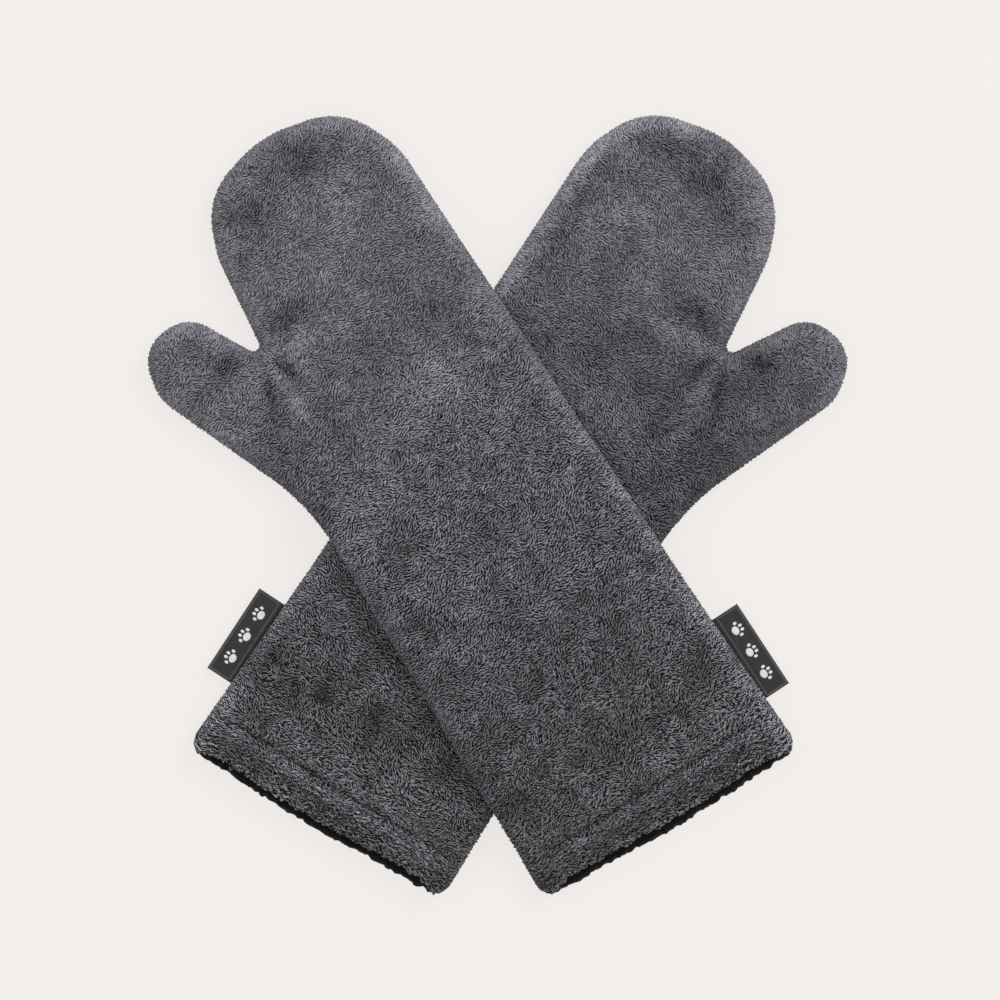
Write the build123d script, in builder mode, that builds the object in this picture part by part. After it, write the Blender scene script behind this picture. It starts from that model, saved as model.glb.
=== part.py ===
from build123d import *
import os
from collections import namedtuple
from math import cos, radians, sin

# A pair of long plush grooming mitts, each with a finger pocket, a thumb and an open sleeve.
# They lie flat and crossed, the upper mitt draped over the lower one.
# Millimetres. +Z is up, +Y is towards the fingertips. The origin is on the surface that the
# pair lies on, under the middle of its box. In a mitt's own plane u runs across the hand,
# away from the thumb, and v runs from the mouth to the fingertips.

# ---- driving dimensions ----
TILT = 33.3  # angle of each mitt's long axis from +Y
MIDDLE = (-0.07, 2.0)  # where the two long axes are measured from, which centres the box
LOWER_SHIFT = (4.5, -2.5)  # how far the lower mitt lies off the mirrored upper one, along u and v
LOWER_SPREAD = (5.0, 2.0)  # how much further out and up its thumb lies
THICK = 18.0  # one mitt, lying flat
PANEL = 4.0  # plush panel
LINING = 1.0
SEAM = 5.0  # seam allowance inside the outline
SLIT = 0.6  # slit along a fold line
EASE = 0.2  # space between a lining and the seam allowance

MOUTH_V = -226.0
MOUTH_CORNER = 9.0  # radius of the mouth's two corners
HEM_DEPTH = 25.0  # cloth turned in at the mouth
HEM_PLY = 1.5
STITCH = (2.8, 0.7, 0.4)  # length, width and height of one hem stitch
STITCH_PITCH = 4.0
STITCH_ROW = 40

KNUCKLE_V = 167.0  # fold line of the fingers
THUMB_FOLD_TOP = (-76.5, 168.0)
THUMB_FOLD_LOW = (-104.5, 62.0)
CROTCH_LOW_V = 135.0  # where the crotch's seam piece starts

# Corner points of a mitt's outline, thumb on the left, each with the radius that rounds it.
CORNERS = [
    ((-109.5, MOUTH_V), MOUTH_CORNER),
    ((-97, 62), 150),
    ((-139.5, 170), 30),
    ((-132, 202), 23),
    ((-97, 205), 23),
    ((-70, 153), 4),
    ((-61, 224), 60),
    ((-46, 259), 45),
    ((2, 272), 75),
    ((54, 259), 45),
    ((71, 220), 60),
    ((71, -90), 300),
    ((74, MOUTH_V), MOUTH_CORNER),
]
THUMB_CORNERS = range(1, 5)
FAR = 300.0  # past every edge of a mitt

# The upper mitt's drape, measured across the lower mitt's axis.
CREST = (-109.0, 81.0)  # just past the lower mitt's two edges
FEET = (-139.0, 118.0)  # where it comes down to the surface
LIFT = THICK + 0.5
BEND = 30.0  # radius of the drape's bends

LABEL_ROOT = 73.9  # u of the label's sewn edge
UPPER_LABEL_V = -162.5  # middle of each mitt's label
LOWER_LABEL_V = -151.5
LABEL_WIDTH = 16.8
LABEL_LENGTH = 59.0
LABEL_THICK = 1.2
LABEL_Z = 5.4
LABEL_FOLD = 0.5  # radius of the folded outer edge
BORDER = 1.4
PRINT_THICK = 0.2
PAWS = 3
PAW_PITCH = 16.0
PAD = (3.0, 2.4)  # radii of a paw's pad
TOE = (1.0, 1.35)
TOES = [(-4.0, 2.0), (-1.4, 4.1), (1.4, 4.1), (4.0, 2.0)]  # toe centres from the pad's centre

Mitt = namedtuple("Mitt", "name side plane spread draped label_v")


def mitt_plane(side, shift):
    """The surface that a mitt lies on, with its own axes. Side is 1, or -1 for the mirror image."""
    across = (cos(radians(TILT)), side * sin(radians(TILT)))
    along = (-across[1], across[0])
    x = MIDDLE[0] + side * shift[0] * across[0] + shift[1] * along[0]
    y = MIDDLE[1] + side * shift[0] * across[1] + shift[1] * along[1]
    return Plane(origin=(x, y, 0), x_dir=(across[0], across[1], 0), z_dir=(0, 0, 1))


UPPER = Mitt("upper", 1, mitt_plane(1, (0.0, 0.0)), (0.0, 0.0), True, UPPER_LABEL_V)
LOWER = Mitt("lower", -1, mitt_plane(-1, LOWER_SHIFT), LOWER_SPREAD, False, LOWER_LABEL_V)
DRAPE_PLANE = Plane(
    origin=(MIDDLE[0], MIDDLE[1], 0),
    x_dir=(-cos(radians(TILT)), sin(radians(TILT)), 0),
    z_dir=(sin(radians(TILT)), cos(radians(TILT)), 0),
)


def thumb_fold(v, offset):
    """A point of the thumb's fold line, moved across the hand by an offset."""
    slope = (THUMB_FOLD_TOP[0] - THUMB_FOLD_LOW[0]) / (THUMB_FOLD_TOP[1] - THUMB_FOLD_LOW[1])
    return (THUMB_FOLD_LOW[0] + slope * (v - THUMB_FOLD_LOW[1]) + offset, v)


def palm_region(start):
    """The sleeve and the palm from a height on the sleeve up to both fold lines."""
    knuckle = KNUCKLE_V - SLIT / 2
    top = thumb_fold(THUMB_FOLD_TOP[1], SLIT / 2)
    low = thumb_fold(THUMB_FOLD_LOW[1], SLIT / 2)
    return [(-FAR, start), (FAR, start), (FAR, knuckle), (-73, knuckle), top, low, (-FAR, low[1])]


def hem_region():
    inner = MOUTH_V + HEM_DEPTH
    return [(-FAR, MOUTH_V), (FAR, MOUTH_V), (FAR, inner), (-FAR, inner)]


def finger_region():
    knuckle = KNUCKLE_V + SLIT / 2
    return [(-76, knuckle), (FAR, knuckle), (FAR, FAR), (-76, FAR)]


def thumb_region():
    top = thumb_fold(THUMB_FOLD_TOP[1], -SLIT / 2)
    low = thumb_fold(THUMB_FOLD_LOW[1], -SLIT / 2)
    return [top, low, (-FAR, low[1]), (-FAR, FAR), (top[0], FAR)]


def outer_side_region():
    knuckle = KNUCKLE_V - SLIT / 2
    start = MOUTH_V + MOUTH_CORNER
    return [(0, start), (FAR, start), (FAR, knuckle), (0, knuckle)]


def thumb_side_region():
    top = thumb_fold(CROTCH_LOW_V, SLIT / 2)
    low = thumb_fold(THUMB_FOLD_LOW[1], SLIT / 2)
    start = MOUTH_V + MOUTH_CORNER
    return [(-FAR, start), (top[0], start), top, low, (-FAR, low[1])]


def crotch_region():
    knuckle = KNUCKLE_V - SLIT / 2
    top = thumb_fold(THUMB_FOLD_TOP[1], SLIT / 2)
    low = thumb_fold(CROTCH_LOW_V, SLIT / 2)
    return [low, (0, CROTCH_LOW_V), (0, knuckle), (-73, knuckle), top]


def closed_edges(mitt, points, radii=0):
    """Edges of a closed outline in a mitt's own plane, rounded where radii are given."""
    with BuildLine() as path:
        FilletPolyline(*[(mitt.side * u, v) for u, v in points], radius=radii, close=True)
    return path.edges()


def outline_edges(mitt, mouth):
    """Edges of a mitt's outline, with its mouth moved along the arm to where it is wanted."""
    points = [(u, mouth if v == MOUTH_V else v) for (u, v), _ in CORNERS]
    for index in THUMB_CORNERS:
        u, v = points[index]
        points[index] = (u - mitt.spread[0], v + mitt.spread[1])
    return closed_edges(mitt, points, [radius for _, radius in CORNERS])


def panel_shape(mitt, region, height):
    """A plush panel: everything inside the outline."""
    with BuildSketch(mitt.plane.offset(height)) as shape:
        make_face(outline_edges(mitt, MOUTH_V))
        make_face(closed_edges(mitt, region), mode=Mode.INTERSECT)
    return shape.sketch


def inner_shape(mitt, region, height):
    """A lining: what lies inside the seam allowance, open to the mouth."""
    with BuildSketch(mitt.plane.offset(height)) as shape:
        make_face(outline_edges(mitt, MOUTH_V - 4 * SEAM))
        offset(amount=-SEAM - EASE)
        make_face(closed_edges(mitt, region), mode=Mode.INTERSECT)
    return shape.sketch


def seam_shape(mitt, region, height):
    """A stretch of the seam allowance that follows the outline."""
    with BuildSketch(mitt.plane.offset(height)) as shape:
        make_face(outline_edges(mitt, MOUTH_V - 4 * SEAM))
        offset(amount=-SEAM, mode=Mode.SUBTRACT)
        make_face(closed_edges(mitt, region), mode=Mode.INTERSECT)
    return shape.sketch


def drape_edges(low, high):
    """Side view of a draped layer: up over the lower mitt and down to the surface on both sides."""
    line = [
        (-2 * FAR, 0),
        (FEET[0], 0),
        (CREST[0], LIFT),
        (CREST[1], LIFT),
        (FEET[1], 0),
        (2 * FAR, 0),
    ]
    with BuildLine() as band:
        under = FilletPolyline(*[(w, z + low) for w, z in line], radius=BEND)
        over = FilletPolyline(*[(w, z + high) for w, z in line], radius=BEND)
        Line(under @ 0, over @ 0)
        Line(under @ 1, over @ 1)
    return band.edges()


def save(mitt, name, part):
    part.label = f"{mitt.name}_{name}"
    export_step(part, f"parts/{part.label}.step")


def flat_layer(mitt, name, shape, region, low, high):
    """A layer of a mitt that lies flat, between two heights above the surface."""
    with BuildPart() as layer:
        extrude(shape(mitt, region, low), amount=high - low)
    save(mitt, name, layer.part)


def draped_layer(mitt, name, shape, region, low, high):
    """The same for a layer that follows the drape."""
    with BuildPart() as layer:
        extrude(shape(mitt, region, 0), amount=LIFT + THICK)
        with BuildSketch(DRAPE_PLANE):
            make_face(drape_edges(low, high))
        extrude(amount=2 * FAR, both=True, mode=Mode.INTERSECT)
    save(mitt, name, layer.part)


def make_sleeve(mitt):
    """Sleeve and palm: panels, linings, side seams and the hem round the mouth."""
    layer = draped_layer if mitt.draped else flat_layer
    palm = palm_region(MOUTH_V)
    lined = palm_region(MOUTH_V + HEM_DEPTH + EASE)
    roof = THICK - PANEL
    layer(mitt, "sleeve_bottom_panel", panel_shape, palm, 0, PANEL)
    layer(mitt, "sleeve_top_panel", panel_shape, palm, roof, THICK)
    layer(mitt, "sleeve_bottom_lining", inner_shape, lined, PANEL, PANEL + LINING)
    layer(mitt, "sleeve_top_lining", inner_shape, lined, roof - LINING, roof)
    layer(mitt, "outer_side_seam", seam_shape, outer_side_region(), PANEL, roof)
    layer(mitt, "thumb_side_seam", seam_shape, thumb_side_region(), PANEL, roof)
    layer(mitt, "crotch_seam", seam_shape, crotch_region(), PANEL, roof)
    layer(mitt, "hem_bottom", inner_shape, hem_region(), PANEL, PANEL + HEM_PLY)
    layer(mitt, "hem_top", inner_shape, hem_region(), roof - HEM_PLY, roof)


def make_pocket(mitt, name, region):
    """The fingers or the thumb, beyond its fold line."""
    roof = THICK - PANEL
    flat_layer(mitt, f"{name}_bottom_panel", panel_shape, region, 0, PANEL)
    flat_layer(mitt, f"{name}_top_panel", panel_shape, region, roof, THICK)
    flat_layer(mitt, f"{name}_bottom_lining", inner_shape, region, PANEL, PANEL + LINING)
    flat_layer(mitt, f"{name}_top_lining", inner_shape, region, roof - LINING, roof)
    flat_layer(mitt, f"{name}_seam", seam_shape, region, PANEL, roof)


def make_hem_stitch(mitt):
    """One row of stitches across the top panel, which holds the turned hem."""
    middle = (CORNERS[0][0][0] + CORNERS[-1][0][0]) / 2
    with BuildPart() as stitch:
        with BuildSketch(mitt.plane.offset(THICK)):
            with Locations((mitt.side * middle, MOUTH_V + HEM_DEPTH - 1)):
                with GridLocations(STITCH_PITCH, 1, STITCH_ROW, 1):
                    SlotOverall(STITCH[0], STITCH[1])
        extrude(amount=STITCH[2])
    save(mitt, "hem_stitch", stitch.part)


def label_edges(mitt, inset):
    """A rectangle inside the label, a distance in from its edges."""
    half = LABEL_LENGTH / 2 - inset
    inner = LABEL_ROOT + inset
    outer = LABEL_ROOT + LABEL_WIDTH - inset
    low = mitt.label_v - half
    high = mitt.label_v + half
    return closed_edges(mitt, [(inner, low), (outer, low), (outer, high), (inner, high)])


def make_label(mitt):
    """A woven ribbon, folded along its outer edge."""
    outward = Axis((0, 0, 0), mitt.plane.x_dir * mitt.side)
    with BuildPart() as label:
        with BuildSketch(mitt.plane.offset(LABEL_Z)):
            make_face(label_edges(mitt, 0))
        extrude(amount=LABEL_THICK)
        outer = label.edges().group_by(outward)[-1]
        fillet(outer.filter_by(lambda edge: edge.length > LABEL_THICK * 2), radius=LABEL_FOLD)
    save(mitt, "label", label.part)


def make_label_border(mitt):
    """A raised woven edge round the label's upper face."""
    with BuildPart() as border:
        with BuildSketch(mitt.plane.offset(LABEL_Z + LABEL_THICK)):
            make_face(label_edges(mitt, LABEL_FOLD))
            make_face(label_edges(mitt, LABEL_FOLD + BORDER), mode=Mode.SUBTRACT)
        extrude(amount=PRINT_THICK)
    save(mitt, "label_border", border.part)


def make_label_mark(mitt):
    """A plain row of paw prints in raised thread, toes towards the label's outer edge."""
    middle = LABEL_ROOT + LABEL_WIDTH / 2
    with BuildPart() as mark:
        with BuildSketch(mitt.plane.offset(LABEL_Z + LABEL_THICK)):
            for paw in range(PAWS):
                v = mitt.label_v + (paw - (PAWS - 1) / 2) * PAW_PITCH
                with Locations(Location((mitt.side * (middle - 1.6), v), -90 * mitt.side)):
                    Ellipse(*PAD)
                    with Locations(*TOES):
                        Ellipse(*TOE)
        extrude(amount=PRINT_THICK)
    save(mitt, "label_mark", mark.part)


os.makedirs("parts", exist_ok=True)
for one in (LOWER, UPPER):
    make_sleeve(one)
    make_pocket(one, "finger", finger_region())
    make_pocket(one, "thumb", thumb_region())
    make_hem_stitch(one)
    make_label(one)
    make_label_border(one)
    make_label_mark(one)
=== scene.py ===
"""A crossed pair of long plush grooming mitts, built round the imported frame.

Lengths are millimetres until a mesh is made, which is in metres. In a mitt's own plane u runs
across the hand, away from the thumb, and v runs from the mouth to the fingertips.
"""
from collections import namedtuple
from math import acos, atan2, ceil, cos, pi, radians, sin, tan

import bmesh
import bpy
import numpy as np
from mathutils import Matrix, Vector


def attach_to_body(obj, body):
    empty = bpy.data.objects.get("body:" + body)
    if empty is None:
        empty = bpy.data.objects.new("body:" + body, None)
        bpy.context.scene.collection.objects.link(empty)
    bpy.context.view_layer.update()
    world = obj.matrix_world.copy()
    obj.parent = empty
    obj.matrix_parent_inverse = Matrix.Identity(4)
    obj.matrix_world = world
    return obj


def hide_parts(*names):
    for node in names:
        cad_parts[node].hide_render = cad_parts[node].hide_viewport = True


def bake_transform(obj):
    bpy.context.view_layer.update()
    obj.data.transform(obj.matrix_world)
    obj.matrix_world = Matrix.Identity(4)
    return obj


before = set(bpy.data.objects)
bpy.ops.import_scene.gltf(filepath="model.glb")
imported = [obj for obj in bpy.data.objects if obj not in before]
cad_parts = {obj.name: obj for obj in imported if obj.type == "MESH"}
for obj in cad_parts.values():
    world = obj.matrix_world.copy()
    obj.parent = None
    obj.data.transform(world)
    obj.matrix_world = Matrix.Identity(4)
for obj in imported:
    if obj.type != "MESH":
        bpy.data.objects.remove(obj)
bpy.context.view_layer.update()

MM = 0.001

# ---- the frame's own dimensions, as the CAD has them ----
TILT = radians(33.3)  # of each mitt, from the row's own axis
MIDDLE = np.array((-0.07, 2.0))  # where the two mitts cross
LOWER_SHIFT = (4.5, -2.5)  # of the lower mitt, across and along
LOWER_SPREAD = (5.0, 2.0)  # how much further out the lower mitt's thumb lies
MOUTH_V = -226.0
MOUTH_CORNER = 9.0  # radius
CORNERS = [  # each with its radius
    ((-109.5, MOUTH_V), 1),
    ((-97, 62), 150),
    ((-139.5, 170), 30),
    ((-132, 202), 23),
    ((-97, 205), 23),
    ((-70, 153), 4),
    ((-61, 224), 60),
    ((-46, 259), 45),
    ((2, 272), 75),
    ((54, 259), 45),
    ((71, 220), 60),
    ((71, -90), 300),
    ((74, MOUTH_V), 1),
]
THUMB_CORNERS = range(1, 5)
CREST = (-109.0, 81.0)  # across the lower mitt, where the upper one is at its full height
FEET = (-139.0, 118.0)  # where it is back on the floor
LIFT = 18.7  # of the upper mitt over the lower one
KNUCKLE_V = 167.0
KNUCKLE_BEND = (-7.0, 15.0)  # where the cloth bends, from the knuckle
FINGERS_V = KNUCKLE_V - 9  # where the fingers' own pieces begin
FINGERS_U = -72
THUMB_FOLD_TOP = np.array((-76.5, 168.0))
THUMB_FOLD_LOW = np.array((-104.5, 62.0))
THUMB_BEND = (1.0, 20.0)  # where the cloth bends, from the thumb's fold
STITCH_V = MOUTH_V + 24.0
STITCH_PITCH = 4.0
STITCH_ROW = 40
STITCH_REACH = 1.4  # half of a stitch's length
STITCH_RADIUS = 0.34
OUTLINE_SPARE = 60.0  # the outline is drawn on this far past the cloth's end
LABEL_ROOT = 73.9
UPPER_LABEL_V = -162.5
LOWER_LABEL_V = -151.5
LABEL_WIDTH = 16.8
LABEL_LENGTH = 59.0
LABEL_THICK = 1.2
LABEL_TIP = LABEL_ROOT + LABEL_WIDTH
LABEL_Z = 5.4

# ---- the plush ----
FRONT_STEP = 0.85  # spacing of the mesh
BACK_STEP = 1.7
FLOOR_GAP = 0.9  # keeps the back's pile above the floor
MID = 9.0  # height of the side seams
RIM = 9.0  # radius of the rolled sides, seen from above
RIM_REACH = 20.0  # cells are stretched over this width to cover the rolled side
FRONT_START = -0.22  # the first angle of the front's roll, so that its edge covers the back's
BACK_INSET = 0.5  # how far the back's edge stays inside the outline
HALF = 7.6  # half of the thickness at the end of the rolled side
CROWN = 0.9
CROWN_REACH = (4, 45)  # the inset over which it rises
SWELL = 0.45  # height of the cloth's soft swells
SWELL_WAVE = 40
MOTTLE_WAVE = 15  # of the smaller patches
BACK_SHARE = 0.3  # of the front's shades, grooves and rows that the back has
BACK_DENTS = 0.15  # and of their height, the part that its dents have
LIP = 2.4  # radius of the rolled edge at the mouth
RETURN = 14.0  # cloth turned in
SETBACK = 5.8  # how far the front's edge stands back from the back's, at the mouth
MOUTH_SLANT = 7.0  # how much less deep the mouth is at its thumb side
MOUTH_DEEPER = 3.0
MOUTH_RAGGED = 0.45
RAGGED_WAVE = 4
MOUTH_REACH = 45.0  # how far from the mouth its shape fades out
FRONT_INSIDE = (1.9, 2.4)  # how far the cloth has turned in, in radians, where it goes dark, partly its inner face's own colour and partly painted shade
BACK_INSIDE = (0.75, 1.3)
HEM_CREASE_V = MOUTH_V + 9.0
HEM_CREASE_WIDTH = 1.3
HEM_CREASE_SHARE = 0.6  # of the groove's depth
HEM_GROOVE = 1.1  # depth of the groove along the stitches
HEM_GROOVE_WIDTH = 1.7
HEM_PAD = 0.5  # how much thicker the hem is
HEM_PAD_END = (STITCH_V - 6, STITCH_V - 1)
HEM_FADE = (MOUTH_V + 18, MOUTH_V + 160)  # where the hem's coarse pile gives way to the sleeve's
SLEEVE_FADE = (-60, 140)  # and the sleeve's to the hand's
COARSE_AT_HEM = 0.7
COARSE_PATCHES = 0.2
ROW_HEIGHT = 0.35
ROW_SWAY = 0.6  # how far the rows stray, in radians of their pitch
ROW_FADE = (MOUTH_V + 8, MOUTH_V + 34)
PUFF_V = MOUTH_V + 21.5  # middle of the light band beside the stitches
PUFF_WIDTH = 4.0
ROW_PITCH = 4.2  # between the rows of pile at the hem
FRONT_WAVES = (2.2, 3.0)  # pitch of the ridges of pile on the hand and at the hem
BACK_WAVES = (4.0, 4.6)
RIDGE = 0.42  # height of a ridge of pile
BACK_RIDGE = 0.3
HEM_RIDGE = 0.5  # how much higher it is at the hem, as a share
LIP_RIDGE = 0.35  # and at the mouth, in millimetres
LIP_RIDGE_FADE = (MOUTH_V + 7, MOUTH_V + 15)
RIDGE_LIMIT = 2.2  # of a ridge, in spreads of the pile's noise
PRESSED_BY_LABEL = 0.8  # how much of the ridges is gone there
PRESSED_INSIDE = 0.85
PRESSED_AT_CORNERS = 0.7
LAY_LEAN = 0.15  # of the pile from the u axis, in radians
LAY_SWAY = 0.55
LAY_WAVE = 14
LAY_FADE = (MOUTH_V + 4, MOUTH_V + 33)  # where the pile turns to lie along the mouth
SIDE_LAY = (5, 14)  # the depth over which it turns outward, at the rolled sides
SIDE_LAY_FADE = (MOUTH_V + 8, MOUTH_V + 23)
PILE_CELL = 3.0  # length of a stroke in the pile's colour
PILE_STRIPES = 1.9  # strokes beside each other in that length
PILE_COLOURS = [  # from the painted shade between the strokes, through the cloth's own grey, to the painted highlight on their tips
    (0.18, (0.002, 0.002, 0.0045)),
    (0.38, (0.037, 0.0365, 0.0455)),
    (0.56, (0.124, 0.122, 0.136)),
    (0.88, (0.272, 0.268, 0.286)),
]
# the turned-in cloth at the mouth: its inner face's dark colour, partly painted shade
INNER_FACE_AND_SHADE_COLOUR = (0.006, 0.006, 0.0065, 1)

# ---- patches of the plush that are lighter or darker, as a spot and a size ----
# the lower mitt's palm, darkened as painted shadow of the upper mitt lying over it
PALM_SHADOW_PATCH = ((-60, 92), (95, 55))
THUMB_PATCH = ((-118, 158), (34, 42))
HEM_PATCH = ((-10, -193), (90, 14))
LABEL_PATCH_SIZE = (6, 34)

# ---- how light the pile is, with its painted shade, highlight and sheen, and how deep the painted shade between its strokes, as shares ----
MOUTH_LIGHT = 0.70
FINGERS_LIGHT = 0.61  # how much lighter than the mouth
LIGHT_SPAN = (-190, 220)
HAND_SPAN = (-140, 60)  # where the sleeve's shade gives way to the hand's
HEM_PATCH_LIGHT = 0.42
# painted sheen along the rolled rims of the fingers and the outer sides, and a little painted shade at the
# other rims
FINGER_RIM_LIGHT = 0.42
FINGER_RIM_SPAN = (90, 190)
RIM_DARK = 0.04
OUTER_SIDE = (0, 50)  # u, from the middle to the outer side
OUTER_SIDE_SPAN = (-60, 110)  # where the sleeve's painted side sheen gives way to the hand's
RIM_LIGHT_REACH = (1.5, 15)
SWELL_TONE = 0.09
MOTTLE_TONE = 0.07
SLEEVE_MOTTLE = 0.05
# painted shade in the hem's groove and the crease beside it
GROOVE_SHADE = 0.54
LIP_TONE = 0.22
LIP_TONE_FADE = (MOUTH_V + 4, MOUTH_V + 10)
ROW_TONE = 0.22
PUFF_TONE = 0.30
TONE_LIMITS = (0.25, 2.4)
HAND_SHALLOW = 0.3
HAND_SHALLOW_SPAN = (20, 175)
RIM_SHALLOW = 0.35
RIM_SHALLOW_REACH = (1.5, 14)
SLEEVE_DEEP = 0.48
HEM_DEEP = 0.70
CREASE_DEEP = 0.6
PUFF_SHALLOW = 0.3

# ---- the linings and the labels ----
LINING_STEP = 3.0
LINING_INSET = 4.5
LINING_DEPTH = 11.0  # how far inside the mouth a lining starts
LINING_ROLL = 9.0  # width over which it rises to its full height
LINING_HALF = 3.75
LINING_GAP = 0.2  # half of the space between the linings at their edge
RIBBON_PLY = 0.5
RIBBON_IN_SEAM = 2.2
RIBBON_CUTS = 60
EDGE_INSET = 0.5  # of the woven edge, from the ribbon's sides
EDGE_SECTION = [(0.0, 0.0), (0.05, 0.12), (0.5, 0.2), (0.9, 0.2), (1.35, 0.12), (1.4, 0.0)]
EDGE_SINK = 0.02
PAW_PITCH = 16.0
PAW_SHIFT = 1.6  # of the paws towards the seam
PAW_PADS = [  # place across and ahead, and half sizes
    ((0.0, 0.0), (3.0, 2.4)),
    ((-4.0, 2.0), (1.0, 1.35)),
    ((-1.4, 4.1), (1.0, 1.35)),
    ((1.4, 4.1), (1.0, 1.35)),
    ((4.0, 2.0), (1.0, 1.35)),
]
PAD_RISE = 0.22
PAD_TOP = 0.2
PAD_SINK = 0.03
PAD_SEGMENTS = 28
PAD_LEVELS = 5
RIBBON_COLOURS = ((0.011, 0.0125, 0.013), (0.032, 0.035, 0.037))  # dark and light threads
EDGE_COLOURS = ((0.030, 0.028, 0.026), (0.095, 0.088, 0.081))
PAW_COLOURS = ((0.66, 0.66, 0.65), (0.92, 0.92, 0.91))

# ---- the light table and the view, in metres ----
TABLE_REACH = 12.0
TABLE_GLOW = 0.862
TABLE_REFLECTS = 0.12
VIEW_WIDTH = 0.62
VIEW_MIDDLE = (0.00148, 0.0051)
VIEW_HEIGHT = 0.018

# ---- the two mitts ----
Mitt = namedtuple("Mitt", "name side shift spread draped label_v shades seed")
Shades = namedtuple("Shades", "hand thumb palm sleeve side")  # how light the cloth is, part by part; palm is the painted shadow of the upper mitt, side the painted sheen on the outer rims
UPPER_SHADES = Shades(1.0, 1.0, 1.0, 1.0, 0.05)
# the lower mitt's palm gets painted shadow of the upper mitt, its outer side painted sheen
LOWER_SHADES = Shades(0.885, 0.73, 0.68, 1.06, 1.1)
SLEEVE_SIDE_SHEEN = 0.75  # painted sheen along the outer sides of both sleeves
UPPER = Mitt("upper", 1, (0.0, 0.0), (0.0, 0.0), True, UPPER_LABEL_V, UPPER_SHADES, 11)
LOWER = Mitt("lower", -1, LOWER_SHIFT, LOWER_SPREAD, False, LOWER_LABEL_V, LOWER_SHADES, 47)
PARTS = {"sleeve": "sleeve", "fingers": "finger", "thumb": "thumb"}  # with their nodes' names


def smooth(x, low, high):
    """0 below low, 1 above high, and a smooth step between them."""
    t = np.clip((x - low) / (high - low), 0, 1)
    return t * t * (3 - 2 * t)


def bell(x, y, spot, size, turn=0.0):
    """A soft patch round a spot, 1 at its middle, with its long axis turned from the x axis."""
    c, s = cos(radians(turn)), sin(radians(turn))
    dx, dy = x - spot[0], y - spot[1]
    return np.exp(-(((c * dx + s * dy) / size[0]) ** 2) - ((c * dy - s * dx) / size[1]) ** 2)


def ridge(x, middle, width):
    """1 at its middle, and soft on both sides."""
    return np.exp(-(((x - middle) / width) ** 2))


# ---------------------------------------------------------------- where things are


def axes(mitt):
    across = np.array((cos(TILT), mitt.side * sin(TILT)))
    along = np.array((-across[1], across[0]))
    origin = MIDDLE + mitt.side * mitt.shift[0] * across + mitt.shift[1] * along
    return origin, across, along


def drape(xy):
    """How high the upper mitt's own surface lies over the lower mitt."""
    dx, dy = xy[:, 0] - MIDDLE[0], xy[:, 1] - MIDDLE[1]
    w = -dx * cos(TILT) + dy * sin(TILT)
    return LIFT * smooth(w, FEET[0], CREST[0]) * (1 - smooth(w, CREST[1], FEET[1]))


def undraped(mitt, u, v, z):
    """Points of a mitt in the row frame, in millimetres, as if it lay on the floor."""
    origin, across, along = axes(mitt)
    xy = origin + np.outer(mitt.side * np.asarray(u, float), across) + np.outer(v, along)
    return np.column_stack((xy, np.asarray(z, float)))


def placed(mitt, u, v, z):
    """Points of a mitt in the row frame, in millimetres."""
    points = undraped(mitt, u, v, z)
    if mitt.draped:
        points[:, 2] += drape(points[:, :2])
    return points


def spot(mitt, u, v):
    """A place on a mitt's own plane, in metres."""
    return placed(mitt, [u], [v], [0.0])[0] * MM


# ---------------------------------------------------------------- outlines


def rounded(points, radii, step=2.0):
    """A closed outline with its corners rounded."""
    out = []
    count = len(points)
    for i in range(count):
        p = np.array(points[i], float)
        a = np.array(points[i - 1], float) - p
        b = np.array(points[(i + 1) % count], float) - p
        a /= np.linalg.norm(a)
        b /= np.linalg.norm(b)
        turn = pi - acos(np.clip(a @ b, -1, 1))
        reach = radii[i] * tan(turn / 2)
        centre = p + (a + b) / np.linalg.norm(a + b) * radii[i] / cos(turn / 2)
        first, last = p + a * reach - centre, p + b * reach - centre
        start = atan2(first[1], first[0])
        sweep = (atan2(last[1], last[0]) - start + pi) % (2 * pi) - pi
        steps = max(2, ceil(abs(sweep) * radii[i] / step))
        for k in range(steps + 1):
            t = start + sweep * k / steps
            out.append(centre + radii[i] * np.array((cos(t), sin(t))))
    return np.array(out)


def outline(mitt, mouth):
    """A mitt's outline, with both sides of the sleeve drawn on to a line past its mouth."""
    points = [point for point, _ in CORNERS]
    for i in THUMB_CORNERS:
        points[i] = (points[i][0] - mitt.spread[0], points[i][1] + mitt.spread[1])
    for end, before in ((0, 1), (-1, -2)):
        (u, v), (u0, v0) = points[end], points[before]
        points[end] = (u + (u - u0) * (mouth - v) / (v - v0), mouth)
    return rounded(points, [r for _, r in CORNERS])


def nearest(line, p):
    """For each point, how far inside the outline it is and the nearest point of the outline."""
    a, ab = line, np.roll(line, -1, 0) - line
    length2 = np.maximum((ab**2).sum(1), 1e-12)
    inside_by = np.empty(len(p))
    near = np.empty_like(p)
    for part in np.array_split(np.arange(len(p)), max(1, len(p) // 3000)):
        q = p[part]
        ap = q[:, None] - a[None]
        t = np.clip((ap * ab).sum(2) / length2, 0, 1)
        foot = a + t[..., None] * ab
        gap2 = ((q[:, None] - foot) ** 2).sum(2)
        best = gap2.argmin(1)
        rows = np.arange(len(q))
        near[part] = foot[rows, best]
        y0, y1 = a[:, 1], a[:, 1] + ab[:, 1]
        spans = (y0 > q[:, 1:2]) != (y1 > q[:, 1:2])
        with np.errstate(divide="ignore", invalid="ignore"):
            cross = a[:, 0] + (q[:, 1:2] - y0) * ab[:, 0] / (y1 - y0)
        odd = (spans & (q[:, :1] < cross)).sum(1) % 2 == 1
        inside_by[part] = np.sqrt(gap2[rows, best]) * np.where(odd, 1, -1)
    return inside_by, near


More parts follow.
